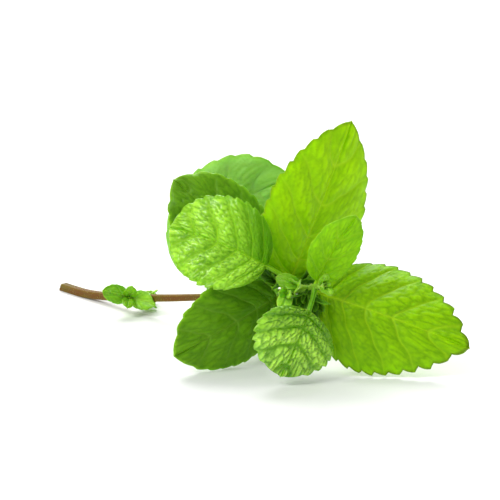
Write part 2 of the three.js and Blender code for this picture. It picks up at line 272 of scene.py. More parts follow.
class Nodes:
    """Adds nodes to a node tree and links them, so that a material reads as a list of steps."""

    def __init__(self, tree: bpy.types.NodeTree) -> None:
        """Starts on an empty tree."""
        self.tree = tree
        tree.nodes.clear()

    def add(self, kind: str, settings: dict | None = None, **inputs: object) -> bpy.types.Node:
        """A new node.

        Args:
            kind: The node's type.
            settings: Values of the node's own properties.
            **inputs: Values or sockets for its inputs, by name, with underscores for spaces.

        Returns:
            The node.
        """
        node = self.tree.nodes.new(kind)
        for key, value in (settings or {}).items():
            setattr(node, key, value)
        for key, value in inputs.items():
            self.feed(node.inputs[key.replace("_", " ")], value)
        return node

    def feed(self, socket: bpy.types.NodeSocket, value: object) -> None:
        """Links a socket to an input, or sets the input's value.

        Args:
            socket: The input.
            value: The socket that feeds it, or its value.
        """
        if isinstance(value, bpy.types.NodeSocket):
            self.tree.links.new(value, socket)
        else:
            socket.default_value = value

    def math(self, operation: str, *values: object) -> bpy.types.NodeSocket:
        """The result of a Math node, held between 0 and 1.

        Args:
            operation: What the node does.
            *values: Values or sockets for its inputs, in order.

        Returns:
            The node's output.
        """
        node = self.add("ShaderNodeMath", {"operation": operation, "use_clamp": True})
        for socket, value in zip(node.inputs, values):
            self.feed(socket, value)
        return node.outputs[0]

    def mix(self, share: object, first: object, second: object) -> bpy.types.NodeSocket:
        """The colour at a share of the way from the first colour to the second.

        Args:
            share: The share, as a value or a socket.
            first: The colour at 0.
            second: The colour at 1.

        Returns:
            The node's colour output.
        """
        node = self.add("ShaderNodeMix", {"data_type": "RGBA"})
        self.feed(node.inputs["Factor"], share)
        self.feed(node.inputs[6], first)
        self.feed(node.inputs[7], second)
        return node.outputs[2]

    def mark(self, name: str) -> bpy.types.Node:
        """The node that reads a mark kept at a surface's points."""
        return self.add("ShaderNodeAttribute", {"attribute_type": "GEOMETRY", "attribute_name": name})

    def noise(self, vector: object, scale: float, detail: float = 2.0) -> bpy.types.NodeSocket:
        """Smooth noise from 0 to 1."""
        return self.add("ShaderNodeTexNoise", None, Vector=vector, Scale=scale, Detail=detail).outputs["Fac"]


def new_group(name: str, colours: list[str], values: dict[str, float], results: list[str]) -> Nodes:
    """An empty shader node group with named inputs and outputs.

    Args:
        name: The group's name.
        colours: Names of the inputs that take a colour. They start white.
        values: Names of the inputs that take a value, and what each starts at.
        results: Names of the outputs that give a value. They come after the one that gives the colour.

    Returns:
        The group's tree, ready for nodes.
    """
    tree = bpy.data.node_groups.new(name, "ShaderNodeTree")
    for label, value in {**{colour: WHITE for colour in colours}, **values}.items():
        kind = "NodeSocketColor" if label in colours else "NodeSocketFloat"
        socket = tree.interface.new_socket(label, in_out="INPUT", socket_type=kind)
        socket.default_value = value
    for label in ["Color", *results]:
        kind = "NodeSocketColor" if label == "Color" else "NodeSocketFloat"
        tree.interface.new_socket(label, in_out="OUTPUT", socket_type=kind)
    return Nodes(tree)


LEAF_BLOTCHES = 90.0  # how many come to a metre, as in the next two
LEAF_SPECKS = 900.0
LEAF_CELLS = 1900.0


def leaf_tissue() -> bpy.types.NodeTree:
    """The node group of a leaf's skin, built once.

    Crowns between the veins take a lighter colour, a painted highlight, and the low places between them a
    darker one, a painted shade, with broad and fine mottling, and a painted shade deepens the leaf towards its
    base.
    Pale veins, a dark margin and a paler lower face lie over that. Roughness is higher on the lower face and
    in the low places. The coat lies on the crowns, away from the base. Height is a fine grain of cells for the
    Bump node.

    Returns:
        The group's tree.
    """
    name = "Leaf tissue"
    if name in bpy.data.node_groups:
        return bpy.data.node_groups[name]
    nodes = new_group(
        name,
        colours=["Crown", "Hollow", "Vein", "Under", "Margin"],
        values={"Gloss": 0.4, "Wax": 0.0, "Contrast": 0.6, "Mottle": 0.5, "Shade": 0.4},
        results=["Roughness", "Coat", "Height"],
    )
    given = nodes.add("NodeGroupInput").outputs
    place = nodes.add("ShaderNodeTexCoord").outputs["Object"]
    crown, vein, under, margin, reach = (
        nodes.mark(key).outputs["Fac"] for key in ("crown", "vein", "under", "margin", "reach")
    )
    broad = nodes.noise(place, LEAF_BLOTCHES, 3.0)
    fine = nodes.noise(place, LEAF_SPECKS, 3.0)
    grain = nodes.add("ShaderNodeTexVoronoi", {"feature": "SMOOTH_F1"}, Vector=place, Scale=LEAF_CELLS)

    # painted highlight on the crowns and painted shade in the hollows: the colour runs from the hollow's to
    # the crown's
    spread = nodes.math("MULTIPLY_ADD", nodes.math("SUBTRACT", broad, 0.3), given["Mottle"], 0.0)
    raised = nodes.math("MULTIPLY_ADD", crown, given["Contrast"], spread)
    raised = nodes.math("ADD", raised, nodes.math("MULTIPLY", nodes.math("SUBTRACT", fine, 0.4), 0.6))
    colour = nodes.mix(raised, given["Hollow"], given["Crown"])
    # painted shade towards the base: the colour goes over to the hollow's as the reach mark falls
    painted_base_shade = nodes.math("SMOOTH_MIN", 1.0, nodes.math("MULTIPLY_ADD", reach, -2.6, 1.6), 0.3)
    colour = nodes.mix(nodes.math("MULTIPLY", painted_base_shade, given["Shade"]), colour, given["Hollow"])
    colour = nodes.mix(nodes.math("MULTIPLY", vein, 0.6), colour, given["Vein"])
    below = nodes.mix(nodes.math("MULTIPLY", vein, 0.7), given["Under"], given["Vein"])
    colour = nodes.mix(nodes.math("MULTIPLY", under, 0.85), colour, below)
    edge = nodes.math("MULTIPLY", margin, nodes.math("MULTIPLY_ADD", fine, 1.6, -0.1))
    colour = nodes.mix(edge, colour, given["Margin"])

    roughness = nodes.math("ADD", given["Gloss"], nodes.math("MULTIPLY", under, 0.22))
    roughness = nodes.math("ADD", roughness, nodes.math("MULTIPLY", nodes.math("SUBTRACT", fine, 0.35), 0.3))
    coat = nodes.math("MULTIPLY", nodes.math("SUBTRACT", crown, painted_base_shade), given["Wax"])
    height = nodes.math("ADD", nodes.math("MULTIPLY", grain.outputs["Distance"], 0.6),
                        nodes.math("MULTIPLY", fine, 0.4))
    nodes.add("NodeGroupOutput", None, Color=colour, Roughness=roughness, Coat=coat, Height=height)
    return nodes.tree


def stem_skin() -> bpy.types.NodeTree:
    """The node group of a stem's skin, built once.

    Fine streaks run along the stem. A blush lies over the green where the noise and the mark for the lower
    stem are high, the youngest end has a green of its own, and pale pith shows in the cut. Height is the
    streaks, for the Bump node.

    Returns:
        The group's tree.
    """
    name = "Stem skin"
    if name in bpy.data.node_groups:
        return bpy.data.node_groups[name]
    nodes = new_group(name, ["Green", "Blush", "Corner", "Pith", "Young"], {}, ["Roughness", "Height"])
    given = nodes.add("NodeGroupInput").outputs
    place = nodes.add("ShaderNodeTexCoord").outputs["Object"]
    along = nodes.mark("grain").outputs["Vector"]
    blush, corner, cut = (nodes.mark(key).outputs["Fac"] for key in ("blush", "corner", "cut"))
    streak = nodes.noise(along, 5.0, 4.0)
    broad = nodes.noise(place, 120.0, 3.0)

    tint = nodes.math("MULTIPLY", blush, nodes.math("MULTIPLY_ADD", broad, 1.6, 0.0))
    tint = nodes.math("ADD", tint, nodes.math("MULTIPLY", nodes.math("SUBTRACT", streak, 0.5), 0.8))
    colour = nodes.mix(tint, given["Green"], given["Blush"])
    colour = nodes.mix(nodes.math("MULTIPLY", corner, 0.35), colour, given["Corner"])
    colour = nodes.mix(nodes.math("MULTIPLY", blush, 4.0), given["Young"], colour)
    pith = nodes.mix(nodes.math("MULTIPLY", streak, 0.3), given["Pith"], given["Corner"])
    colour = nodes.mix(cut, colour, pith)
    roughness = nodes.math("MULTIPLY_ADD", streak, 0.25, 0.38)
    nodes.add("NodeGroupOutput", None, Color=colour, Roughness=roughness, Height=streak)
    return nodes.tree


def skin_material(
    name: str, group: bpy.types.NodeTree, look: dict[str, object], grain: float, **shading: object,
) -> bpy.types.Material:
    """The material of a skin, made once for each name.

    The group's colour, roughness and, if it gives one, coat feed the shader. Its height feeds a Bump node.

    Args:
        name: The material's name.
        group: The skin's node group.
        look: The values of the group's inputs.
        grain: The strength of the Bump node.
        **shading: Values of the shader's own inputs, by name, with underscores for spaces.

    Returns:
        The material.
    """
    if name in bpy.data.materials:
        return bpy.data.materials[name]
    material = bpy.data.materials.new(name)
    material.use_nodes = True
    nodes = Nodes(material.node_tree)
    skin = nodes.add("ShaderNodeGroup", {"node_tree": group}, **look).outputs
    bump = nodes.add("ShaderNodeBump", None, Height=skin["Height"], Strength=grain, Distance=BUMP_DEPTH)
    coat = {"Coat_Weight": skin["Coat"]} if "Coat" in skin else {}
    shader = nodes.add(
        "ShaderNodeBsdfPrincipled", {"subsurface_method": "RANDOM_WALK"}, Base_Color=skin["Color"],
        Roughness=skin["Roughness"], Normal=bump.outputs["Normal"], Subsurface_Scale=SCATTER_DEPTH,
        **coat, **shading,
    )
    nodes.add("ShaderNodeOutputMaterial", None, Surface=shader.outputs["BSDF"])
    return material


@dataclass(frozen=True)
class LeafFinish:
    """How a leaf looks.

    gloss is the roughness of its upper face, shine the strength of its highlights and wax that of those on
    its crowns. contrast is the step in colour from hollow to crown, a painted shade in the hollows and a
    painted highlight on the crowns, mottle the unevenness of its colour, and shade how far a painted shade
    deepens it towards its base. glow is how much light comes through it and grain the depth of its finest
    relief.
    """

    crown: Colour
    hollow: Colour
    vein: Colour
    under: Colour
    margin: Colour = srgb(116, 170, 24)
    gloss: float = 0.34
    shine: float = 0.15
    wax: float = 0.0
    contrast: float = 0.6
    mottle: float = 0.9
    shade: float = 0.4
    glow: float = 0.8
    grain: float = 0.5

    LOOK = ("crown", "hollow", "vein", "under", "margin", "gloss", "wax", "contrast", "mottle", "shade")

    def material(self, name: str) -> bpy.types.Material:
        """The leaf's material, made once for each name.

        Args:
            name: The material's name.

        Returns:
            The material.
        """
        look = {key.capitalize(): getattr(self, key) for key in self.LOOK}
        return skin_material(
            name, leaf_tissue(), look, self.grain, Subsurface_Weight=self.glow,
            Subsurface_Radius=(0.9, 1.0, 0.15), IOR=1.42, Specular_IOR_Level=self.shine, Coat_Roughness=0.22,
        )


@dataclass(frozen=True)
class StemFinish:
    """How the stem looks: its green, the blush over it, its corners, the pith in its cut, its young end."""

    green: Colour = srgb(96, 114, 10)
    blush: Colour = srgb(112, 72, 14)
    corner: Colour = srgb(134, 112, 26)
    pith: Colour = srgb(196, 208, 140)
    young: Colour = srgb(134, 184, 48)

    LOOK = ("green", "blush", "corner", "pith", "young")

    def material(self, name: str) -> bpy.types.Material:
        """The stem's material, made once for each name.

        Args:
            name: The material's name.

        Returns:
            The material.
        """
        look = {key.capitalize(): getattr(self, key) for key in self.LOOK}
        return skin_material(
            name, stem_skin(), look, grain=0.5, Subsurface_Weight=0.3, Subsurface_Radius=(1.0, 0.7, 0.3),
            Specular_IOR_Level=0.25,
        )


class Tone(Enum):
    """The finishes of the sprig's leaves. In each the crown is lighter than the hollow: a painted highlight on
    the crowns and a painted shade in the hollows.
    """

    BRIGHT = LeafFinish(
        crown=srgb(184, 232, 0), hollow=srgb(128, 186, 0), vein=srgb(206, 238, 40), under=srgb(164, 208, 60),
        margin=srgb(104, 134, 10))
    OLIVE = LeafFinish(
        crown=srgb(160, 214, 0), hollow=srgb(102, 158, 0), vein=srgb(188, 228, 30), under=srgb(150, 198, 50),
        margin=srgb(78, 92, 8))
    FRESH = LeafFinish(
        crown=srgb(162, 222, 6), hollow=srgb(110, 174, 0), vein=srgb(180, 228, 40), under=srgb(150, 202, 70))
    LIME = LeafFinish(
        crown=srgb(178, 236, 58), hollow=srgb(84, 148, 0), vein=srgb(172, 226, 50), under=srgb(160, 212, 90),
        gloss=0.3, shine=0.12, wax=0.9, contrast=0.7, shade=1.0)
    PUCKERED = LeafFinish(
        crown=srgb(194, 248, 70), hollow=srgb(62, 132, 0), vein=srgb(124, 192, 16), under=srgb(150, 200, 90),
        gloss=0.26, shine=0.4, wax=1.0, contrast=0.9, mottle=0.5, shade=0.6)
    # painted shade: a darker copy for the leaves that lie in the shade of others, its lighter margin a painted
    # highlight where light reaches their edges
    DEEP = LeafFinish(
        crown=srgb(116, 172, 20), hollow=srgb(76, 130, 4), vein=srgb(136, 186, 50), under=srgb(124, 172, 66),
        margin=srgb(132, 180, 30))
    # painted shade: the darkest copy, for the small shoots deep in the shaded hollow of the head
    SHADED_INNER = LeafFinish(
        crown=srgb(70, 123, 8), hollow=srgb(30, 68, 0), vein=srgb(98, 154, 28), under=srgb(62, 110, 20),
        margin=srgb(110, 166, 30))
    # painted sheen: a pale grey-green that stands in for the sky's sheen on the back leaf's upper face
    SHEENED = LeafFinish(
        crown=srgb(172, 220, 108), hollow=srgb(130, 188, 66), vein=srgb(176, 216, 120),
        under=srgb(142, 188, 92), gloss=0.4, shine=0.5)
    YOUNG = LeafFinish(
        crown=srgb(168, 222, 60), hollow=srgb(104, 168, 10), vein=srgb(190, 232, 100),
        under=srgb(170, 214, 96), glow=0.9, shine=0.3)
    PALE = LeafFinish(
        crown=srgb(190, 240, 84), hollow=srgb(122, 190, 30), vein=srgb(206, 244, 120),
        under=srgb(172, 226, 84), margin=srgb(176, 230, 80), glow=0.9, shine=0.3, shade=0.3)


# ---- The stem ----

class Joint(Enum):
    """The leaf joints, by their distance below the stem's tip."""

    FIRST = 4.0
    SECOND = 11.0
    THIRD = 23.0
    FOURTH = 41.0
    FIFTH = 63.0
    SIXTH = 106.0


@dataclass(frozen=True)
class Frame:
    """A place and three directions square to each other, or whole arrays of them."""

    point: Array
    along: Array
    face: Array
    side: Array

    def branch(self, clock: float, opening: float) -> "Frame":
        """The frame in which a leaf or a shoot leaves this one, whose face looks up and whose side is right.

        Args:
            clock: The clock direction it leaves in, seen by someone who looks back at the tip.
            opening: Its angle from this frame's own direction.

        Returns:
            The new frame: the way it grows, the way its upper face looks, and its right.
        """
        out = turned(self.face, self.side, clock)
        along = turned(self.along, out, opening)
        face = turned(self.along, -out, 90.0 - opening)
        return Frame(self.point, along, face, np.cross(along, face))


def upright_frame(point: Array, along: Array) -> Frame:
    """The frames of points on a stem: along it, up across it, and right as seen by someone who looks back."""
    up = unit(UP - along * along[..., 2:])
    return Frame(point, along, up, np.cross(-along, up))


@dataclass(frozen=True)
class Stem:
    """The square stem: its line, its section, its surface and its hairs."""

    heading: float = -47.0
    lying_length: float = 9.0
    cut_side: float = 2.8
    tip_side: float = 1.5
    cut_slant: float = 0.5
    head_tip: tuple[float, float, float] = (86.0, -96.5, 30.0)
    head_axis: tuple[float, float, float] = (0.34, -0.88, 0.33)
    rise_reach: float = 22.0
    head_reach: float = 42.0
    joint_swell: float = 0.28
    joint_span: float = 2.2
    joint_ridge: float = 0.09  # height of the line left round the stem just above each joint
    blush_start: float = 18.0  # below the tip
    blush_span: float = 45.0
    gap: float = 0.3
    leaf_clearance: float = 0.15  # between the skin and a young leaf that lies along it
    leaf_softness: float = 0.3
    corner_reach: float = 1.24  # from the middle to a corner, as a share of half the stem's side
    groove: float = 0.07  # depth of the groove along each side, of the same half
    line_points: int = 2001
    ring_step: float = 0.35
    ring_sides: int = 56
    hair_count: int = 2600
    hair_length: float = 0.7
    hair_radius: float = 0.03
    hair_lean: tuple[float, float] = (0.1, 0.8)  # towards the tip: the least and the most
    hair_growth: tuple[float, float] = (0.5, 1.1)  # the shortest and the longest, as shares of the length
    hair_root: float = 0.05  # how deep it stands in the skin, and how high every hair ends over the table
    joint_hairs: float = 0.35  # the share of the hairs that stand at a joint

    def line(self) -> tuple[Array, Array, Array]:
        """The stem's middle line.

        A straight stretch over the origin, then a cubic curve from its end to the tip: the first handle lies
        along the heading, the second one behind the tip along the tip's own direction.

        Returns:
            Distances from the cut, the points there and the directions there.
        """
        ahead = np.array([np.cos(np.radians(self.heading)), np.sin(np.radians(self.heading)), 0.0])
        middle = UP * self.cut_side / 2
        start, rise = (middle + ahead * s * self.lying_length / 2 for s in (-1.0, 1.0))
        tip, axis = np.array(self.head_tip), unit(np.array(self.head_axis))
        handles = [rise, rise + ahead * self.rise_reach, tip - axis * self.head_reach, tip]
        t = np.linspace(0.0, 1.0, self.line_points)[:, None]
        weights = [(1 - t) ** 3, 3 * (1 - t) ** 2 * t, 3 * (1 - t) * t ** 2, t ** 3]
        curve = sum(w * p for w, p in zip(weights, handles))
        slopes = [(1 - t) ** 2, 2 * (1 - t) * t, t ** 2]
        steps = [b - a for a, b in zip(handles, handles[1:])]
        directions = unit(sum(w * p for w, p in zip(slopes, steps)))
        lengths = np.linalg.norm(np.diff(curve, axis=0), axis=1)
        distances = self.lying_length + np.concatenate([[0.0], np.cumsum(lengths)])
        return (
            np.concatenate([[0.0], distances]),
            np.concatenate([[start], curve]),
            np.concatenate([[ahead], directions]),
        )

    def length(self) -> float:
        """The stem's whole length, from the cut to its tip."""
        return float(self.line()[0][-1])

    def frames(self, below: float | Array) -> Frame:
        """The frames at distances below the tip.

        Args:
            below: One distance or an array of them.

        Returns:
            The frames, whose own direction runs to the tip and whose face looks up.
        """
        distances, points, directions = self.line()
        at = distances[-1] - np.asarray(below, float)
        point = np.stack([np.interp(at, distances, points[:, k]) for k in range(3)], -1)
        along = unit(np.stack([np.interp(at, distances, directions[:, k]) for k in range(3)], -1))
        return upright_frame(point, along)

    def half_side(self, below: Array) -> Array:
        """Half the stem's side: it tapers to the tip, and swells to a squared cosine bump at each joint.

        Args:
            below: Distances below the tip.

        Returns:
            Half the side there.
        """
        rising = self.length() - self.lying_length
        half = lerp(self.tip_side, self.cut_side, np.minimum(1.0, below / rising)) / 2
        away = np.stack([np.minimum(1.0, np.abs(below - joint.value) / self.joint_span) for joint in Joint])
        return half * (1 + self.joint_swell * np.max(np.cos(away * np.pi / 2) ** 2, axis=0))

    def section(self, angle: Array) -> Array:
        """The distance from the middle to the skin, as a share of half the side.

        A square with round corners: one over the n-th root of the sum of the n-th powers of the cosine and
        the sine, with n such that a corner reaches as far as it should. A shallow groove runs along the
        middle of each side.

        Args:
            angle: Angles round the stem, in radians.

        Returns:
            The shares.
        """
        power = np.log(0.5) / np.log(self.corner_reach * np.sqrt(0.5))
        square = (np.abs(np.cos(angle)) ** power + np.abs(np.sin(angle)) ** power) ** (-1 / power)
        return square - self.groove * np.maximum(0.0, np.cos(4 * angle)) ** 2

    def shell(self, below: Array, angle: Array, share: Array | float = 1.0) -> tuple[Array, Array]:
        """Points on or inside the skin, and the directions away from the middle line there.

        Args:
            below: Distances below the tip.
            angle: Angles round the stem, in radians, from its right towards its upper side.
            share: How far out from the middle line each point is, as a share of the skin's distance.

        Returns:
            The points and the outward directions.
        """
        at = self.frames(below)
        ridge = self.joint_ridge * sum(bell((below - joint.value + 0.5) / 0.4) for joint in Joint)
        reach = (self.half_side(below) * self.section(angle) + ridge) * share
        across, above = reach * np.cos(angle), reach * np.sin(angle)
        from_cut = self.length() - below
        slant = self.cut_slant * above * np.clip(1 - from_cut / self.lying_length, 0.0, 1.0)
        out = at.side * np.cos(angle)[..., None] + at.face * np.sin(angle)[..., None]
        offset = at.side * across[..., None] + at.face * above[..., None] + at.along * slant[..., None]
        return at.point + offset, out

    def moves_clear(self, points: Array, axis: Array) -> Array:
        """The moves that bring points off the stem, to the side on which a shoot grows.

        The stem's height there is the reach of its corners plus a clearance, over one plus the fourth power
        of the point's distance to the side, in reaches. A point moves by half the sum of how far it is below
        that height and the root of the same squared plus a softness squared: almost nothing well above it.

        Args:
            points: The points.
            axis: The way the shoot grows.

        Returns:
            The move of each point.
        """
        distances, line, directions = (values[::8] for values in self.line())
        nearest = np.argmin(np.linalg.norm(points[:, None] - line[None], axis=-1), axis=1)
        along, offset = directions[nearest], points - line[nearest]
        ahead = np.sum(offset * along, axis=-1)
        away = offset - along * ahead[:, None]
        out = unit(axis - along * (along @ axis)[:, None])
        height = np.sum(away * out, axis=-1)
        aside = np.linalg.norm(away - out * height[:, None], axis=-1)
        below = np.maximum(self.length() - distances[nearest] - ahead, 0.0)
        reach = self.half_side(below) * self.corner_reach + self.leaf_clearance
        depth = reach / (1 + (aside / reach) ** 4) - height
        return out * ((depth + np.hypot(depth, self.leaf_softness)) / 2)[:, None]

    def skin(self) -> Skin:
        """The stem's surface: rings from the cut to the tip, with a rim round the cut and pith inside it.

        Returns:
            The closed surface, with marks for the cut, the blush, the corners and the run of the grain.
        """
        length = self.length()
        steps = int(np.ceil(length / self.ring_step))
        cut_shares = np.array([0.25, 0.5, 0.72, 0.86, 0.95, 0.99])
        sunk = np.array([0.10, 0.10, 0.09, 0.05, 0.0, 0.0])  # how far the pith has drawn back into the cut
        below = np.concatenate([length - sunk, np.linspace(length - 0.06, 0.0, steps), [0.0, 0.0]])
        share = np.concatenate([cut_shares, np.ones(steps), [0.85, 0.4]])
        angle = np.arange(self.ring_sides) * 2 * np.pi / self.ring_sides
        below_grid, angle_grid = np.meshgrid(below, angle, indexing="ij")
        share_grid = np.broadcast_to(share[:, None], below_grid.shape)
        points, _ = self.shell(below_grid, angle_grid, share_grid)
        ends = self.frames(np.array([length - 0.1, 0.0])).point
        in_cut = (np.arange(len(below)) < len(cut_shares) - 1).astype(float)
        marks = {
            "cut": np.broadcast_to(in_cut[:, None], below_grid.shape),
            "blush": ease((below_grid - self.blush_start) / self.blush_span),
            "corner": ease((np.abs(np.sin(2 * angle_grid)) - 0.8) / 0.2),
        }
        along = np.stack([np.cos(angle_grid) * 3.0, np.sin(angle_grid) * 3.0, below_grid * 0.12], -1)
        flat = {
            key: np.append(values.ravel(), [values[0, 0], values[-1, 0]]) for key, values in marks.items()
        }
        flat["grain"] = np.concatenate([along.reshape(-1, 3), along[0, :1], along[-1, :1]])
        quads, triangles = ring_faces(len(below), self.ring_sides)
        return Skin(np.concatenate([points.reshape(-1, 3), ends]), quads, triangles, flat)

    def hairs(self) -> Skin:
        """Short hairs that lean towards the tip, denser at the joints, and none that would reach the table.

        Returns:
            All the hairs as one surface.
        """
        rng = np.random.default_rng(SEED)
        spread = rng.random(self.hair_count) * (self.length() - 4.0)
        joints = np.array([joint.value for joint in Joint])
        at_joint = rng.choice(joints, self.hair_count) + rng.normal(0.0, 1.0, self.hair_count)
        below = np.where(rng.random(self.hair_count) < self.joint_hairs, np.maximum(at_joint, 0.2), spread)
        angle = rng.random(self.hair_count) * 2 * np.pi
        root, out = self.shell(below, angle)
        along = self.frames(below).along
        lean = rng.uniform(*self.hair_lean, self.hair_count)[:, None]
        aim = unit(out + along * lean + rng.normal(0.0, 0.15, root.shape))
        size = self.hair_length * rng.uniform(*self.hair_growth, self.hair_count)
        clear = (root + aim * size[:, None])[:, 2] > self.hair_root
        return spikes((root - out * self.hair_root)[clear], aim[clear], size[clear], self.hair_radius)


def spikes(root: Array, aim: Array, length: Array, radius: float) -> Skin:
    """Thin closed three-sided spikes, with the marks of a leaf's surface.

    Args:
        root: Where each spike stands.
        aim: Where it points.
        length: How long it is.
        radius: How thick all of them are at the root.

    Returns:
        All the spikes as one surface.
    """
    across = unit(np.cross(aim, unit(aim[:, [1, 2, 0]] + np.array([0.3, 0.1, 0.7]))))
    other = np.cross(aim, across)
    angles = np.radians([90.0, 210.0, 330.0])
    base = [root + radius * (across * np.cos(a) + other * np.sin(a)) for a in angles]
    points = np.stack([*base, root + aim * length[:, None]], 1).reshape(-1, 3)
    first = 4 * np.arange(len(root))[:, None]
    faces = np.concatenate([first + np.array(f) for f in ([0, 1, 3], [1, 2, 3], [2, 0, 3], [0, 2, 1])])
    zero = np.zeros(len(points))
    marks = {"crown": zero + 1.0, "vein": zero + 1.0, "under": zero, "margin": zero, "reach": zero + 0.5}
    return Skin(points, np.zeros((0, 4), int), faces, marks)


# ---- A leaf ----

@dataclass(frozen=True)
class Blade:
    """One leaf: how it grows, its outline and its relief.

    bend is how far the midrib turns back to the tip, sway how far it swings sideways, roll and twist turn
    the blade about its midrib, fold lifts each half, and droop lowers the edges again. bare is the share of
    the length that is stalk, and point how strongly the outline narrows to the tip. pucker is the height of
    the blisters between the veins, cell their width, wave the height of the ripple along the margin, and bite
    the depth of the teeth at base and tip. stalk is the stalk's radius. lit_half is how much sooner the half
    left of the midrib leaves the painted shade at the base.
    """

    length: float
    width: float
    teeth: int
    bend: float
    fold: float
    droop: float
    curl: float = 1.0
    sway: float = 0.0
    roll: float = 0.0
    twist: float = 0.0
    stalk: float = 0.75
    thickness: float = 0.4
    bare: float = 0.09
    point: float = 0.66
    pucker: float = 0.3
    cell: float = 2.6
    wave: float = 0.3
    bite: tuple[float, float] = (0.6, 0.8)
    lit_half: float = 0.0
    seed: int = 0
    tooth_rise: int = 11  # rows up each tooth and down it
    tooth_fall: int = 5
    columns: int = 40  # across half the blade

    ROUND_BASE = 0.52
    TIP_REACH = 0.14
    TIP_SHARPNESS = 0.3
    VEIN_SLANT = 0.8
    VEIN_BOW = 1.3
    TOOTH_PEAK = 0.78
    TOOTH_DEPTH = 0.065
    TOOTH_LEAN = 0.5
    QUILT = 0.05
    FOLD_FADE = 0.35
    TABLE_SOFTNESS = 0.5
    RIB_DEPTH = 0.85
    STEPS = 60
    EDGE_THICKNESS = 0.14
    COLUMN_CROWDING = 1.3  # the power that brings the columns closer together at the midrib
    TOOTH_BAND = 0.72  # the share of the half width at which the teeth begin
    TOOTH_UNEVENNESS = (0.65, 1.3)  # the shallowest and the deepest tooth
    EDGE_BAND = 0.8  # the share of the half width at which the blade begins to thin
    TIP_END = 0.05  # the last share of the blade, in which the midrib's bar runs out
    VEIN_SPACING = 1.44  # between side veins, square to them, in lengths of a tooth
    VEIN_WIDTH = (0.30, 0.18)  # at the midrib and at the margin
    VEIN_SINK = 0.15  # into the upper face
    VEIN_RIDGE = 0.2  # out of the lower face
    MIDRIB_WIDTH = (0.55, 0.28)  # at the base and at the tip, as in the next two
    MIDRIB_SINK = (0.24, 0.06)
    RIB_WIDTH = (0.8, 0.45)
    CELL_ASPECT = 1.35
    FINE_CELL = 0.46  # the width of a cell in the finer net, as a share of one in the coarser net
    CELL_WEIGHTS = (0.72, 0.28)  # of the coarser net and of the finer one
    MARGIN_WIDTH = 0.9  # of the stretch that takes the margin's colour

    def midrib(self, start: Frame) -> Frame:
        """The midrib as frames at equal steps of its length.

        At share u of the length it has turned back by bend times u to the power curl and sideways by sway
        times u, and the blade is turned about it by roll plus twist times u. Each point is one step further
        along the direction of the point before it.

        Args:
            start: Where the leaf starts and the way it faces.

        Returns:
            The frames.
        """
        u = np.arange(self.STEPS + 1) / self.STEPS
        bend, sway, turn = self.bend * u ** self.curl, self.sway * u, self.roll + self.twist * u
        bent = turned(start.along, -start.face, bend)
        face = turned(start.face, start.along, bend)
        along = turned(bent, start.side, sway)
        side = turned(start.side, -bent, sway)
        moves = np.concatenate([np.zeros((1, 3)), np.cumsum(along[:-1], axis=0)]) * self.length / self.STEPS
        return Frame(start.point + moves, along, turned(face, -side, turn), turned(side, face, turn))

    def outline(self, v: Array) -> Array:
        """Half the width at share v of the blade, as a share of its widest.

        It is v to one power times 1 - v to another, and over the last stretch also times the share of that
        stretch still to go, to a third power.

        Args:
            v: Shares of the blade.

        Returns:
            The shares of the widest.
        """
        widest = self.ROUND_BASE / (self.ROUND_BASE + self.point)
        peak = widest ** self.ROUND_BASE * (1 - widest) ** self.point
        shape = v ** self.ROUND_BASE * (1 - v) ** self.point / peak
        return shape * np.minimum(1.0, (1 - v) / self.TIP_REACH) ** self.TIP_SHARPNESS

    def rows(self) -> tuple[Array, Array, Array]:
        """The rows from the stalk's start to just short of the tip.

        Returns:
            Progress along the stalk (1 on the blade), share v of the blade, and place on the tooth (-0.5 in
            a notch, 0.5 on a point).
        """
        rise = np.arange(self.tooth_rise) / self.tooth_rise
        fall = np.arange(self.tooth_fall) / self.tooth_fall
        in_tooth = np.concatenate([self.TOOTH_PEAK * rise, lerp(self.TOOTH_PEAK, 1.0, fall)])
        on_tooth = np.concatenate([0.5 - (1 - rise) ** 1.8, 0.5 - fall ** 0.8])
        v = ((np.arange(self.teeth)[:, None] + in_tooth) / self.teeth).ravel()
        tooth = np.tile(on_tooth, self.teeth)
        closing = 1 - (1 - self.TOOTH_PEAK) / self.teeth * np.linspace(1.0, 0.12, 8) ** 2
        kept = v < closing[0] - 1e-9
        v, tooth = np.append(v[kept], closing), np.append(tooth[kept], np.linspace(0.5, -0.5, 8))
        stalk = np.linspace(0.0, 1.0, 13)[:-1]
        return (
            np.concatenate([stalk, np.ones(len(v))]),
            np.concatenate([np.zeros(len(stalk)), v]),
            np.concatenate([np.full(len(stalk), -0.5), tooth]),
        )

    def veins(self, v: Array, m: Array, across: Array) -> tuple[Array, Array, Array]:
        """The net of veins.

        Side veins lie where the phase, half the teeth times v less a drift towards the margin and a small
        wave, is a whole number, so that each ends near the point of a tooth. Between them lies an uneven net
        of cells, with a finer net in it.

        Args:
            v: Share of the blade.
            m: Share of the half width, from the midrib to the margin.
            across: Signed distance from the midrib.

        Returns:
            The side veins from 0 to 1, the crowns of the cells from 0 to 1, and the swell between side veins.
        """
        phase = self.teeth * v / 2 - 0.5 * self.TOOTH_PEAK * ease(m)
        phase = phase + 0.03 * np.sin(0.9 * across + 1.7 * self.seed + 2.0 * v * self.teeth)
        spacing = self.VEIN_SPACING * self.length * (1 - self.bare) / self.teeth
        off_vein = np.abs(phase - np.round(phase)) * spacing
        side_vein = bell(off_vein / lerp(*self.VEIN_WIDTH, m)) * lerp(1.0, 0.4, m)
        side_vein = side_vein * ease(v * self.teeth / 1.5)
        net_seed = SEED + self.seed
        domes = []
        for cell in (self.cell, self.FINE_CELL * self.cell):
            relief = cell_relief(phase * spacing / cell, self.CELL_ASPECT * across / cell + 30.0, net_seed)
            inside = np.clip(1.7 * relief - 0.08, 0.0, 1.0)
            domes.append(inside * (2 - inside))
        crown = (self.CELL_WEIGHTS[0] * domes[0] + self.CELL_WEIGHTS[1] * domes[1]) * (1 - side_vein)
        return side_vein, crown, np.abs(np.sin(np.pi * phase))

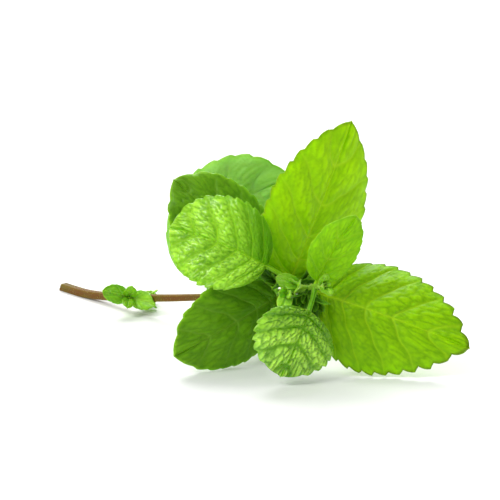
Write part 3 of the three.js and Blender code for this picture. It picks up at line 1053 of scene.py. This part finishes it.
    def skin(self, start: Frame) -> Skin:
        """The leaf's surface, grown from a frame.

        Each half is folded up at the midrib and arched down to its edge by the square of its share of the
        width. It swells between the side veins and in each cell, the veins are sunk in the upper face and
        stand out under the lower one, and the stalk is a round bar that runs out into the midrib. Where it
        would sink into the table it is lifted, by half the difference between its lowest height and the root
        of that height squared plus a softness squared.

        Args:
            start: Where the leaf starts and the way it faces.

        Returns:
            The closed surface, with marks for the crowns, the veins, the lower face and the margin.
        """
        rng = np.random.default_rng(SEED + 7 * self.seed)
        half_width = self.width / 2
        stalk_s, v_row, tooth_row = (values[:, None] for values in self.rows())
        k = np.arange(-self.columns, self.columns + 1) / self.columns
        t = (np.sign(k) * np.abs(k) ** self.COLUMN_CROWDING)[None, :]
        sign = np.where(t < 0, -1.0, 1.0)
        s, v, t = np.broadcast_arrays(stalk_s, v_row, t)
        m = np.abs(t)

        narrowing = np.clip((1 - v) / self.TIP_END, 0.0, 1.0)
        here = lerp(self.stalk * narrowing, half_width, self.outline(v))
        fade = np.minimum(1.0, 4 * v) * np.minimum(1.0, 5 * (1 - v) + 0.4) * np.minimum(1.0, here / 1.5)
        uneven = lerp(*self.TOOTH_UNEVENNESS, rng.random((2, self.teeth + 1)))
        which = np.minimum((v_row * self.teeth).astype(int), self.teeth)
        depth = np.where(sign < 0, uneven[0][which], uneven[1][which])
        toothed = ease((m - self.TOOTH_BAND) / (1 - self.TOOTH_BAND))
        edge = self.TOOTH_DEPTH * half_width * fade * tooth_row * depth * toothed * lerp(*self.bite, v)
        across = m * here + edge

        vein_root = v - self.VEIN_SLANT * v * (1 - v)
        share = lerp(vein_root, v, m ** self.VEIN_BOW)
        u = s * self.bare + (1 - self.bare) * share + self.TOOTH_LEAN * edge / self.length
        rib = self.midrib(start)
        at = np.arange(self.STEPS + 1) / self.STEPS
        point, face, side = (
            np.stack([np.interp(u, at, values[:, axis]) for axis in range(3)], -1)
            for values in (rib.point, rib.face, rib.side)
        )
        fold = self.fold * (1 - self.FOLD_FADE * share) * s ** 2
        out = turned(side * sign[..., None], face, fold)
        above = turned(face, side * -sign[..., None], fold)

        side_vein, crown, swell = self.veins(v, m, sign * across)
        calm = (1 - m ** 5) * np.minimum(1.0, 4 * self.outline(v))
        quilt = self.QUILT * half_width * swell * np.minimum(1.0, 5 * m) * (1 - m ** 3)
        midrib_bell = bell(across / lerp(*self.MIDRIB_WIDTH, v))
        blister = self.pucker * crown * calm * (1 - midrib_bell)
        ripple_phase = 0.8 * np.pi * self.teeth * v + 5.0 * rng.random() + sign
        ripple = self.wave * np.sin(ripple_phase) * m ** 4 * ease(5 * v)
        arch = self.droop * (across / half_width) ** 2
        sunk = self.VEIN_SINK * side_vein * calm + lerp(*self.MIDRIB_SINK, v) * midrib_bell * ease(v / 0.06)
        middle = point + out * across[..., None] + above * (quilt + blister + ripple - arch)[..., None]

        bar = self.stalk * np.sqrt(np.clip(1 - (across / self.stalk) ** 2, 0.0, 1.0)) * narrowing
        on_blade = ease(v / 0.05)
        thinning = ease((m - self.EDGE_BAND) / (1 - self.EDGE_BAND))
        half = lerp(self.thickness, self.EDGE_THICKNESS, thinning) / 2
        stoutness = self.stalk / Blade.stalk
        ridge = self.RIB_DEPTH * (1 - v) * bell(across / lerp(*self.RIB_WIDTH, v))
        ridge = (ridge + self.VEIN_RIDGE * side_vein * calm) * stoutness
        rise = lerp(np.maximum(bar, 0.05), half - sunk, on_blade)
        drop = lerp(np.maximum(bar, 0.05), half + sunk * 0.5 + ridge, on_blade)
        upper, lower = middle + above * rise[..., None], middle - above * drop[..., None]
        lowest = np.minimum(upper[..., 2], lower[..., 2])
        lift = (np.hypot(lowest, self.TABLE_SOFTNESS) - lowest) / 2
        upper, lower = upper + UP * lift[..., None], lower + UP * lift[..., None]
        tip_point = rib.point[-1]
        tip_point = tip_point + UP * (np.hypot(tip_point[2], self.TABLE_SOFTNESS) - tip_point[2]) / 2

        from_margin = (1 - m) * here
        marks = {
            "crown": np.clip(crown * (0.35 + 0.65 * swell), 0.0, 1.0),
            "vein": np.clip(np.maximum(side_vein, midrib_bell) + 0.45 * (1 - s), 0.0, 1.0),
            "margin": ease(1 - from_margin / self.MARGIN_WIDTH) * ease(v / 0.1),
            # reach sets the painted shade at the base, which the half left of the midrib leaves sooner
            "reach": (v + self.lit_half * (sign < 0)) * s,
        }
        both = {key: np.concatenate([values.ravel(), values.ravel(), [0.3]]) for key, values in marks.items()}
        both["under"] = np.concatenate([np.zeros(s.size), np.ones(s.size), [0.5]])
        quads, triangles = sheet_faces(*s.shape)
        points = np.concatenate([upper.reshape(-1, 3), lower.reshape(-1, 3), tip_point[None]])
        return Skin(points, quads, triangles, both)


@dataclass(frozen=True)
class Leaf:
    """A grown leaf on the stem: where it leaves it, its blade and its tone."""

    name: str
    joint: Joint
    clock: float
    opening: float
    blade: Blade
    tone: Tone

    def place(self, stem: Stem) -> None:
        """Builds the leaf on its joint and puts it in the scene in its node's place.

        Args:
            stem: The stem it grows on.
        """
        start = stem.frames(self.joint.value).branch(self.clock, self.opening)
        material = self.tone.value.material("leaf_" + self.tone.name.lower())
        place_piece(self.name + "_blade", self.blade.skin(start), material, self.name)


LEAVES = [
    Leaf("leaf_1_upper", Joint.FIRST, 22, 62, Blade(
        length=28, width=15.5, teeth=8, bend=-18, sway=6, roll=2, fold=22, droop=1.5,
        pucker=0.22, cell=2.0, bite=(0.5, 0.5), seed=1), Tone.FRESH),
    Leaf("leaf_1_lower", Joint.FIRST, 215, 57, Blade(
        length=32.5, width=28, teeth=9, bend=76, sway=-10, roll=7, fold=6, droop=3.0, bare=0.3,
        pucker=0.78, cell=1.8, bite=(0.7, 0.9), seed=2), Tone.PUCKERED),
    Leaf("leaf_2_right", Joint.SECOND, 120, 59, Blade(
        length=55.5, width=37, teeth=12, bend=5, sway=5, roll=12, twist=-18, fold=0, droop=6.5, point=0.9,
        pucker=0.34, cell=2.7, bite=(0.4, 1.3), seed=3), Tone.OLIVE),
    Leaf("leaf_2_left", Joint.SECOND, 311, 104, Blade(
        length=50, width=30, teeth=12, bend=56, curl=1.8, sway=-2, roll=4, twist=10, fold=20, droop=2.5,
        bare=0.28, pucker=0.5, cell=1.9, bite=(0.6, 0.8), lit_half=0.4, seed=4), Tone.LIME),
    Leaf("leaf_3_upper", Joint.THIRD, 27, 70, Blade(
        length=59, width=35.5, teeth=12, bend=10, fold=8, droop=3.8, bare=0.04, point=0.78,
        pucker=0.3, cell=2.7, bite=(0.5, 0.7), seed=5), Tone.BRIGHT),
    Leaf("leaf_3_lower", Joint.THIRD, 250, 92, Blade(
        length=43, width=28, teeth=10, bend=26, roll=10, fold=6, droop=2.5,
        pucker=0.3, cell=2.6, bite=(0.4, 0.5), seed=6), Tone.DEEP),
    Leaf("leaf_4_left", Joint.FOURTH, 349, 86, Blade(
        length=47, width=31, teeth=11, bend=46, sway=-13, roll=22, twist=4, fold=10, droop=2.7,
        pucker=0.3, cell=2.6, bite=(0.5, 0.6), seed=7), Tone.DEEP),
    Leaf("leaf_4_right", Joint.FOURTH, 145, 72, Blade(
        length=36, width=24, teeth=10, bend=30, fold=8, droop=2.0,
        pucker=0.3, cell=2.4, seed=8), Tone.DEEP),
    Leaf("leaf_5_upper", Joint.FIFTH, 8, 98, Blade(
        length=54, width=37, teeth=12, bend=-88, sway=40, roll=52, fold=8, droop=3.2,
        pucker=0.3, cell=2.7, bite=(0.4, 0.5), seed=9), Tone.SHEENED),
    Leaf("leaf_5_lower", Joint.FIFTH, 205, 72, Blade(
        length=30, width=20, teeth=9, bend=40, fold=8, droop=2.0,
        pucker=0.3, cell=2.3, seed=10), Tone.DEEP),
]


# ---- A shoot ----

@dataclass(frozen=True)
class Shoot:
    """A short stub with pairs of young leaves, each pair a quarter turn from the one before it.

    clock is the direction it leaves in and lean its angle from the stem. opening is how far the leaves of its
    first pair stand off the stub, turn how far its pairs are turned about the stub, and length the length of
    those leaves. stub and radius are the stub's own sizes. A shoot that is not in the model has no node
    there: it is one of the small ones deep in the head.
    """

    name: str
    clock: float
    opening: float
    length: float
    teeth: int
    stub: float
    pairs: int = 2
    radius: float = 0.6
    joint: Joint | None = None
    lean: float = 0.0
    turn: float = 0.0
    seed: int = 0
    tone: Tone = Tone.YOUNG
    in_model: bool = True

    AXIL_HEIGHT = 2.6
    PAIR_SHRINK = 0.66
    PAIR_CLOSE = 0.62
    PAIR_BEND = 12.0
    PAIR_UNBEND = 26.0
    FIRST_PAIR = 0.72
    YOUNG_SHAPE = 0.56
    STUB_RINGS = 26
    STUB_SIDES = 18

    def start(self, stem: Stem) -> tuple[Array, Array]:
        """Where the shoot starts and the way it grows: on from the stem's tip, or out of an axil.

        Args:
            stem: The stem it grows on.

        Returns:
            The place and the direction.
        """
        if self.joint is None:
            axis = unit(np.array(stem.head_axis))
            return np.array(stem.head_tip) + axis * stem.gap, axis
        node = stem.frames(self.joint.value - self.AXIL_HEIGHT)
        return node.point, node.branch(self.clock, self.lean).along

    def stub_skin(self, node: Frame) -> Skin:
        """The stub: a round bar that narrows to a small bud at its end.

        Args:
            node: Where it starts and the way it grows.

        Returns:
            The closed surface, with the marks of a leaf's surface.
        """
        share = np.linspace(0.0, 1.0, self.STUB_RINGS)
        distance = share * (self.stub + 2 * self.radius)
        reach = self.radius * np.interp(distance, [0, self.stub, self.stub + 2 * self.radius], [1, 0.85, 0.3])
        angle = np.arange(self.STUB_SIDES) * 2 * np.pi / self.STUB_SIDES
        ring = node.side * np.cos(angle)[:, None] + node.face * np.sin(angle)[:, None]
        spine = node.point + node.along * distance[:, None]
        points = spine[:, None, :] + ring[None] * reach[:, None, None]
        ends = np.stack([node.point, spine[-1] + node.along * 0.2])
        quads, triangles = ring_faces(self.STUB_RINGS, self.STUB_SIDES)
        count = self.STUB_RINGS * self.STUB_SIDES + 2
        zero = np.zeros(count)
        marks = {"crown": zero + 0.6, "vein": zero + 0.7, "margin": zero, "under": zero + 0.3, "reach": zero}
        return Skin(np.concatenate([points.reshape(-1, 3), ends]), quads, triangles, marks)

    @staticmethod
    def beside(stem: Stem, axis: Array, leaf: Skin) -> Skin:
        """A young leaf brought off the stem where it would cut into it, both of its faces by the same move.

        Args:
            stem: The stem.
            axis: The way the shoot grows.
            leaf: The leaf's surface.

        Returns:
            The moved surface.
        """
        upper, lower = np.split(leaf.points[:-1], 2)
        tip = leaf.points[-1:]
        moves = np.stack([stem.moves_clear(upper, axis), stem.moves_clear(lower, axis)])
        larger = np.argmax(np.linalg.norm(moves, axis=-1), axis=0)
        move = moves[larger, np.arange(len(upper))]
        moved_tip = tip + stem.moves_clear(tip, axis)
        return replace(leaf, points=np.concatenate([upper + move, lower + move, moved_tip]))

    def skin(self, stem: Stem) -> Skin:
        """The stub and its pairs of young leaves.

        Args:
            stem: The stem the shoot grows on.

        Returns:
            All of them as one surface.
        """
        point, axis = self.start(stem)
        node = upright_frame(point, axis)
        parts = [self.stub_skin(node)]
        for pair in range(self.pairs):
            on_stub = self.stub * lerp(self.FIRST_PAIR, 1.0, pair / self.pairs)
            root = Frame(point + axis * on_stub, node.along, node.face, node.side)
            length = self.length * self.PAIR_SHRINK ** pair
            blade = Blade(
                length=length,
                width=length * self.YOUNG_SHAPE,
                teeth=max(3, self.teeth + 1 - pair),
                bend=self.PAIR_BEND - self.PAIR_UNBEND * (pair / self.pairs),
                fold=20 + 10 * pair,
                droop=0.4,
                stalk=0.5,
                thickness=0.3,
                pucker=0.16,
                cell=1.2,
                wave=0.15,
                seed=self.seed + 3 * pair,
                tooth_rise=4,
                tooth_fall=2,
                columns=13,
            )
            for across in (0, 180):
                clock = self.clock + self.turn + 90 * pair + across
                leaf = blade.skin(root.branch(clock, self.opening * self.PAIR_CLOSE ** pair))
                parts.append(leaf if self.joint is None else self.beside(stem, axis, leaf))
        return Skin.joined(parts)

    def place(self, stem: Stem) -> None:
        """Builds the shoot and puts it in the scene, in its node's place if it has one.

        Args:
            stem: The stem it grows on.
        """
        material = self.tone.value.material("leaf_" + self.tone.name.lower())
        node = self.name if self.in_model else ""
        place_piece(self.name + "_leaves", self.skin(stem), material, node)


def inner_shoot(
    name: str, clock: float, opening: float, length: float, stub: float, **others: object,
) -> Shoot:
    """One of the small shoots deep in the head that the model has no node for.

    Args:
        name: The shoot's name.
        clock: The direction it leaves in.
        opening: How far the leaves of its first pair stand off the stub.
        length: The length of those leaves.
        stub: The length of its stub.
        **others: Its other fields. The tone is the darkest one, a painted shade for the hollow of the head, if
                  none is given.

    Returns:
        The shoot.
    """
    return Shoot(name, clock, opening, length, 4, stub, **{"tone": Tone.SHADED_INNER, "in_model": False, **others})


SHOOTS = [
    Shoot("shoot_tip", 170, 26, 6.5, 4, 2, pairs=3, radius=0.8, seed=30),
    Shoot("side_shoot_2l", 284, 26, 9, 4, 6, joint=Joint.SECOND, lean=62, seed=35),
    Shoot("side_shoot_3", 66, 28, 8.5, 4, 5, joint=Joint.THIRD, lean=50, seed=40, tone=Tone.SHADED_INNER),
    inner_shoot("inner_shoot_3", 268, 35, 8.9, 8.7, joint=Joint.THIRD, lean=40, turn=99, seed=45,
                tone=Tone.PALE),
    inner_shoot("inner_shoot_3l", 300, 29, 8.6, 6.5, joint=Joint.THIRD, lean=72, turn=-8, seed=42),
    inner_shoot("inner_shoot_3r", 175, 42, 11, 3.6, joint=Joint.THIRD, lean=61, turn=-13, seed=46),
    inner_shoot("inner_shoot_3b", 114, 24, 10, 7.2, joint=Joint.THIRD, lean=65, turn=-29, seed=51),
    inner_shoot("inner_shoot_2", 179, 28, 8.5, 4.6, joint=Joint.SECOND, lean=55, turn=16, seed=48),
    inner_shoot("inner_shoot_2l", 233, 24, 7.5, 3.5, joint=Joint.SECOND, lean=65, turn=-78, seed=49),
    Shoot("side_shoot_4l", 325, 42, 11, 4, 5, joint=Joint.FOURTH, lean=38, seed=50),
    Shoot("side_shoot_4r", 145, 38, 8, 3, 4, joint=Joint.FOURTH, lean=34, seed=60),
    Shoot("side_shoot_5", 205, 38, 8, 3, 4, joint=Joint.FIFTH, lean=30, seed=70),
    Shoot("side_shoot_6l", 285, 48, 12, 4, 5, joint=Joint.SIXTH, lean=42, seed=80),
    Shoot("side_shoot_6r", 105, 48, 10, 4, 5, joint=Joint.SIXTH, lean=42, seed=90),
]


# ---- The studio ----

@dataclass(frozen=True)
class Lamp:
    """A lamp so far away that it lights the whole table alike.

    towards is the direction from the sprig to it, width how wide it looks from there, in degrees, and power
    its strength, in watts per square metre.
    """

    name: str
    towards: tuple[float, float, float]
    width: float
    power: float

    def place(self) -> None:
        """Puts the lamp in the scene."""
        data = bpy.data.lights.new(self.name, "SUN")
        data.angle = np.radians(self.width)
        data.energy = self.power
        lamp = bpy.data.objects.new(self.name, data)
        lamp.location = Vector(self.towards)
        lamp.rotation_euler = Vector(self.towards).to_track_quat("Z", "Y").to_euler()
        bpy.context.scene.collection.objects.link(lamp)


@dataclass(frozen=True)
class Studio:
    """A plain white table, two wide lamps far away, a soft sky and the camera."""

    head: tuple[float, float, float] = (80.0, -86.0, 25.5)  # what the camera is set out from
    elevation: float = 15.0
    distance: float = 700.0
    right_of_head: float = -15.75
    above_head: float = 12.95
    view_width: float = 158.9  # at the head's distance
    sensor: float = 36.0
    floor_reach: float = 3000.0
    sky: float = 0.55
    lamps: tuple[Lamp, ...] = (
        Lamp("front_light", (-0.60, -0.35, 0.72), 22.0, 1.6),
        Lamp("back_light", (-0.10, 0.64, 0.76), 40.0, 2.4),
    )

    def camera(self) -> None:
        """The camera: level, turned along +Y and tipped down, at a distance from the head."""
        tip = np.radians(self.elevation)
        back = np.array([0.0, -np.cos(tip), np.sin(tip)])
        up = np.array([0.0, np.sin(tip), np.cos(tip)])
        offset = np.array([self.right_of_head, 0.0, 0.0]) + up * self.above_head + back * self.distance
        data = bpy.data.cameras.new("camera")
        data.sensor_width = self.sensor
        data.lens = self.sensor * self.distance / self.view_width
        data.clip_start = 0.01
        camera = bpy.data.objects.new("camera", data)
        camera.location = (np.array(self.head) + offset) * METRE
        camera.rotation_euler = (np.pi / 2 - tip, 0.0, 0.0)
        bpy.context.scene.collection.objects.link(camera)
        bpy.context.scene.camera = camera

    def floor(self) -> None:
        """The table: a wide flat square just under the sprig."""
        line = np.linspace(-self.floor_reach, self.floor_reach, 9)
        x, y = np.meshgrid(line, line, indexing="ij")
        grid = np.arange(x.size).reshape(x.shape)
        quads = np.stack([grid[:-1, :-1], grid[1:, :-1], grid[1:, 1:], grid[:-1, 1:]], -1)
        points = np.stack([x.ravel(), y.ravel(), np.zeros(x.size)], -1)
        skin = Skin(points, quads.reshape(-1, 4), np.zeros((0, 3), int))
        floor = bpy.data.objects.new("table_top", skin.mesh("table_top"))
        material = bpy.data.materials.new("white_card")
        material.use_nodes = True
        nodes = Nodes(material.node_tree)
        place = nodes.add("ShaderNodeTexCoord").outputs["Object"]
        tint = nodes.mix(nodes.noise(place, 4.0), srgb(244, 245, 244), srgb(248, 248, 248))
        shader = nodes.add("ShaderNodeBsdfPrincipled", None, Base_Color=tint, Roughness=0.6)
        nodes.add("ShaderNodeOutputMaterial", None, Surface=shader.outputs["BSDF"])
        floor.data.materials.append(material)
        bpy.context.scene.collection.objects.link(floor)

    def sky_light(self) -> None:
        """An even white sky all round."""
        world = bpy.data.worlds.new("studio")
        world.use_nodes = True
        nodes = Nodes(world.node_tree)
        sky = nodes.add("ShaderNodeBackground", None, Color=WHITE, Strength=self.sky)
        nodes.add("ShaderNodeOutputWorld", None, Surface=sky.outputs["Background"])
        bpy.context.scene.world = world

    def place(self) -> None:
        """Sets up the whole studio."""
        self.floor()
        self.sky_light()
        for lamp in self.lamps:
            lamp.place()
        self.camera()
        bpy.context.scene.view_settings.view_transform = "Standard"


def main() -> None:
    """Builds the sprig piece by piece, then the studio round it."""
    logging.basicConfig(level=logging.INFO, format="%(name)s: %(message)s")
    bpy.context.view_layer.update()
    stem = Stem()
    stem_finish = StemFinish()
    place_piece("stem_skin", stem.skin(), stem_finish.material("stem_bark"), "stem")
    place_piece("stem_hairs", stem.hairs(), Tone.YOUNG.value.material("leaf_young"))
    for leaf in LEAVES:
        leaf.place(stem)
    for shoot in SHOOTS:
        shoot.place(stem)
    Studio().place()


if __name__ == "__main__":
    main()
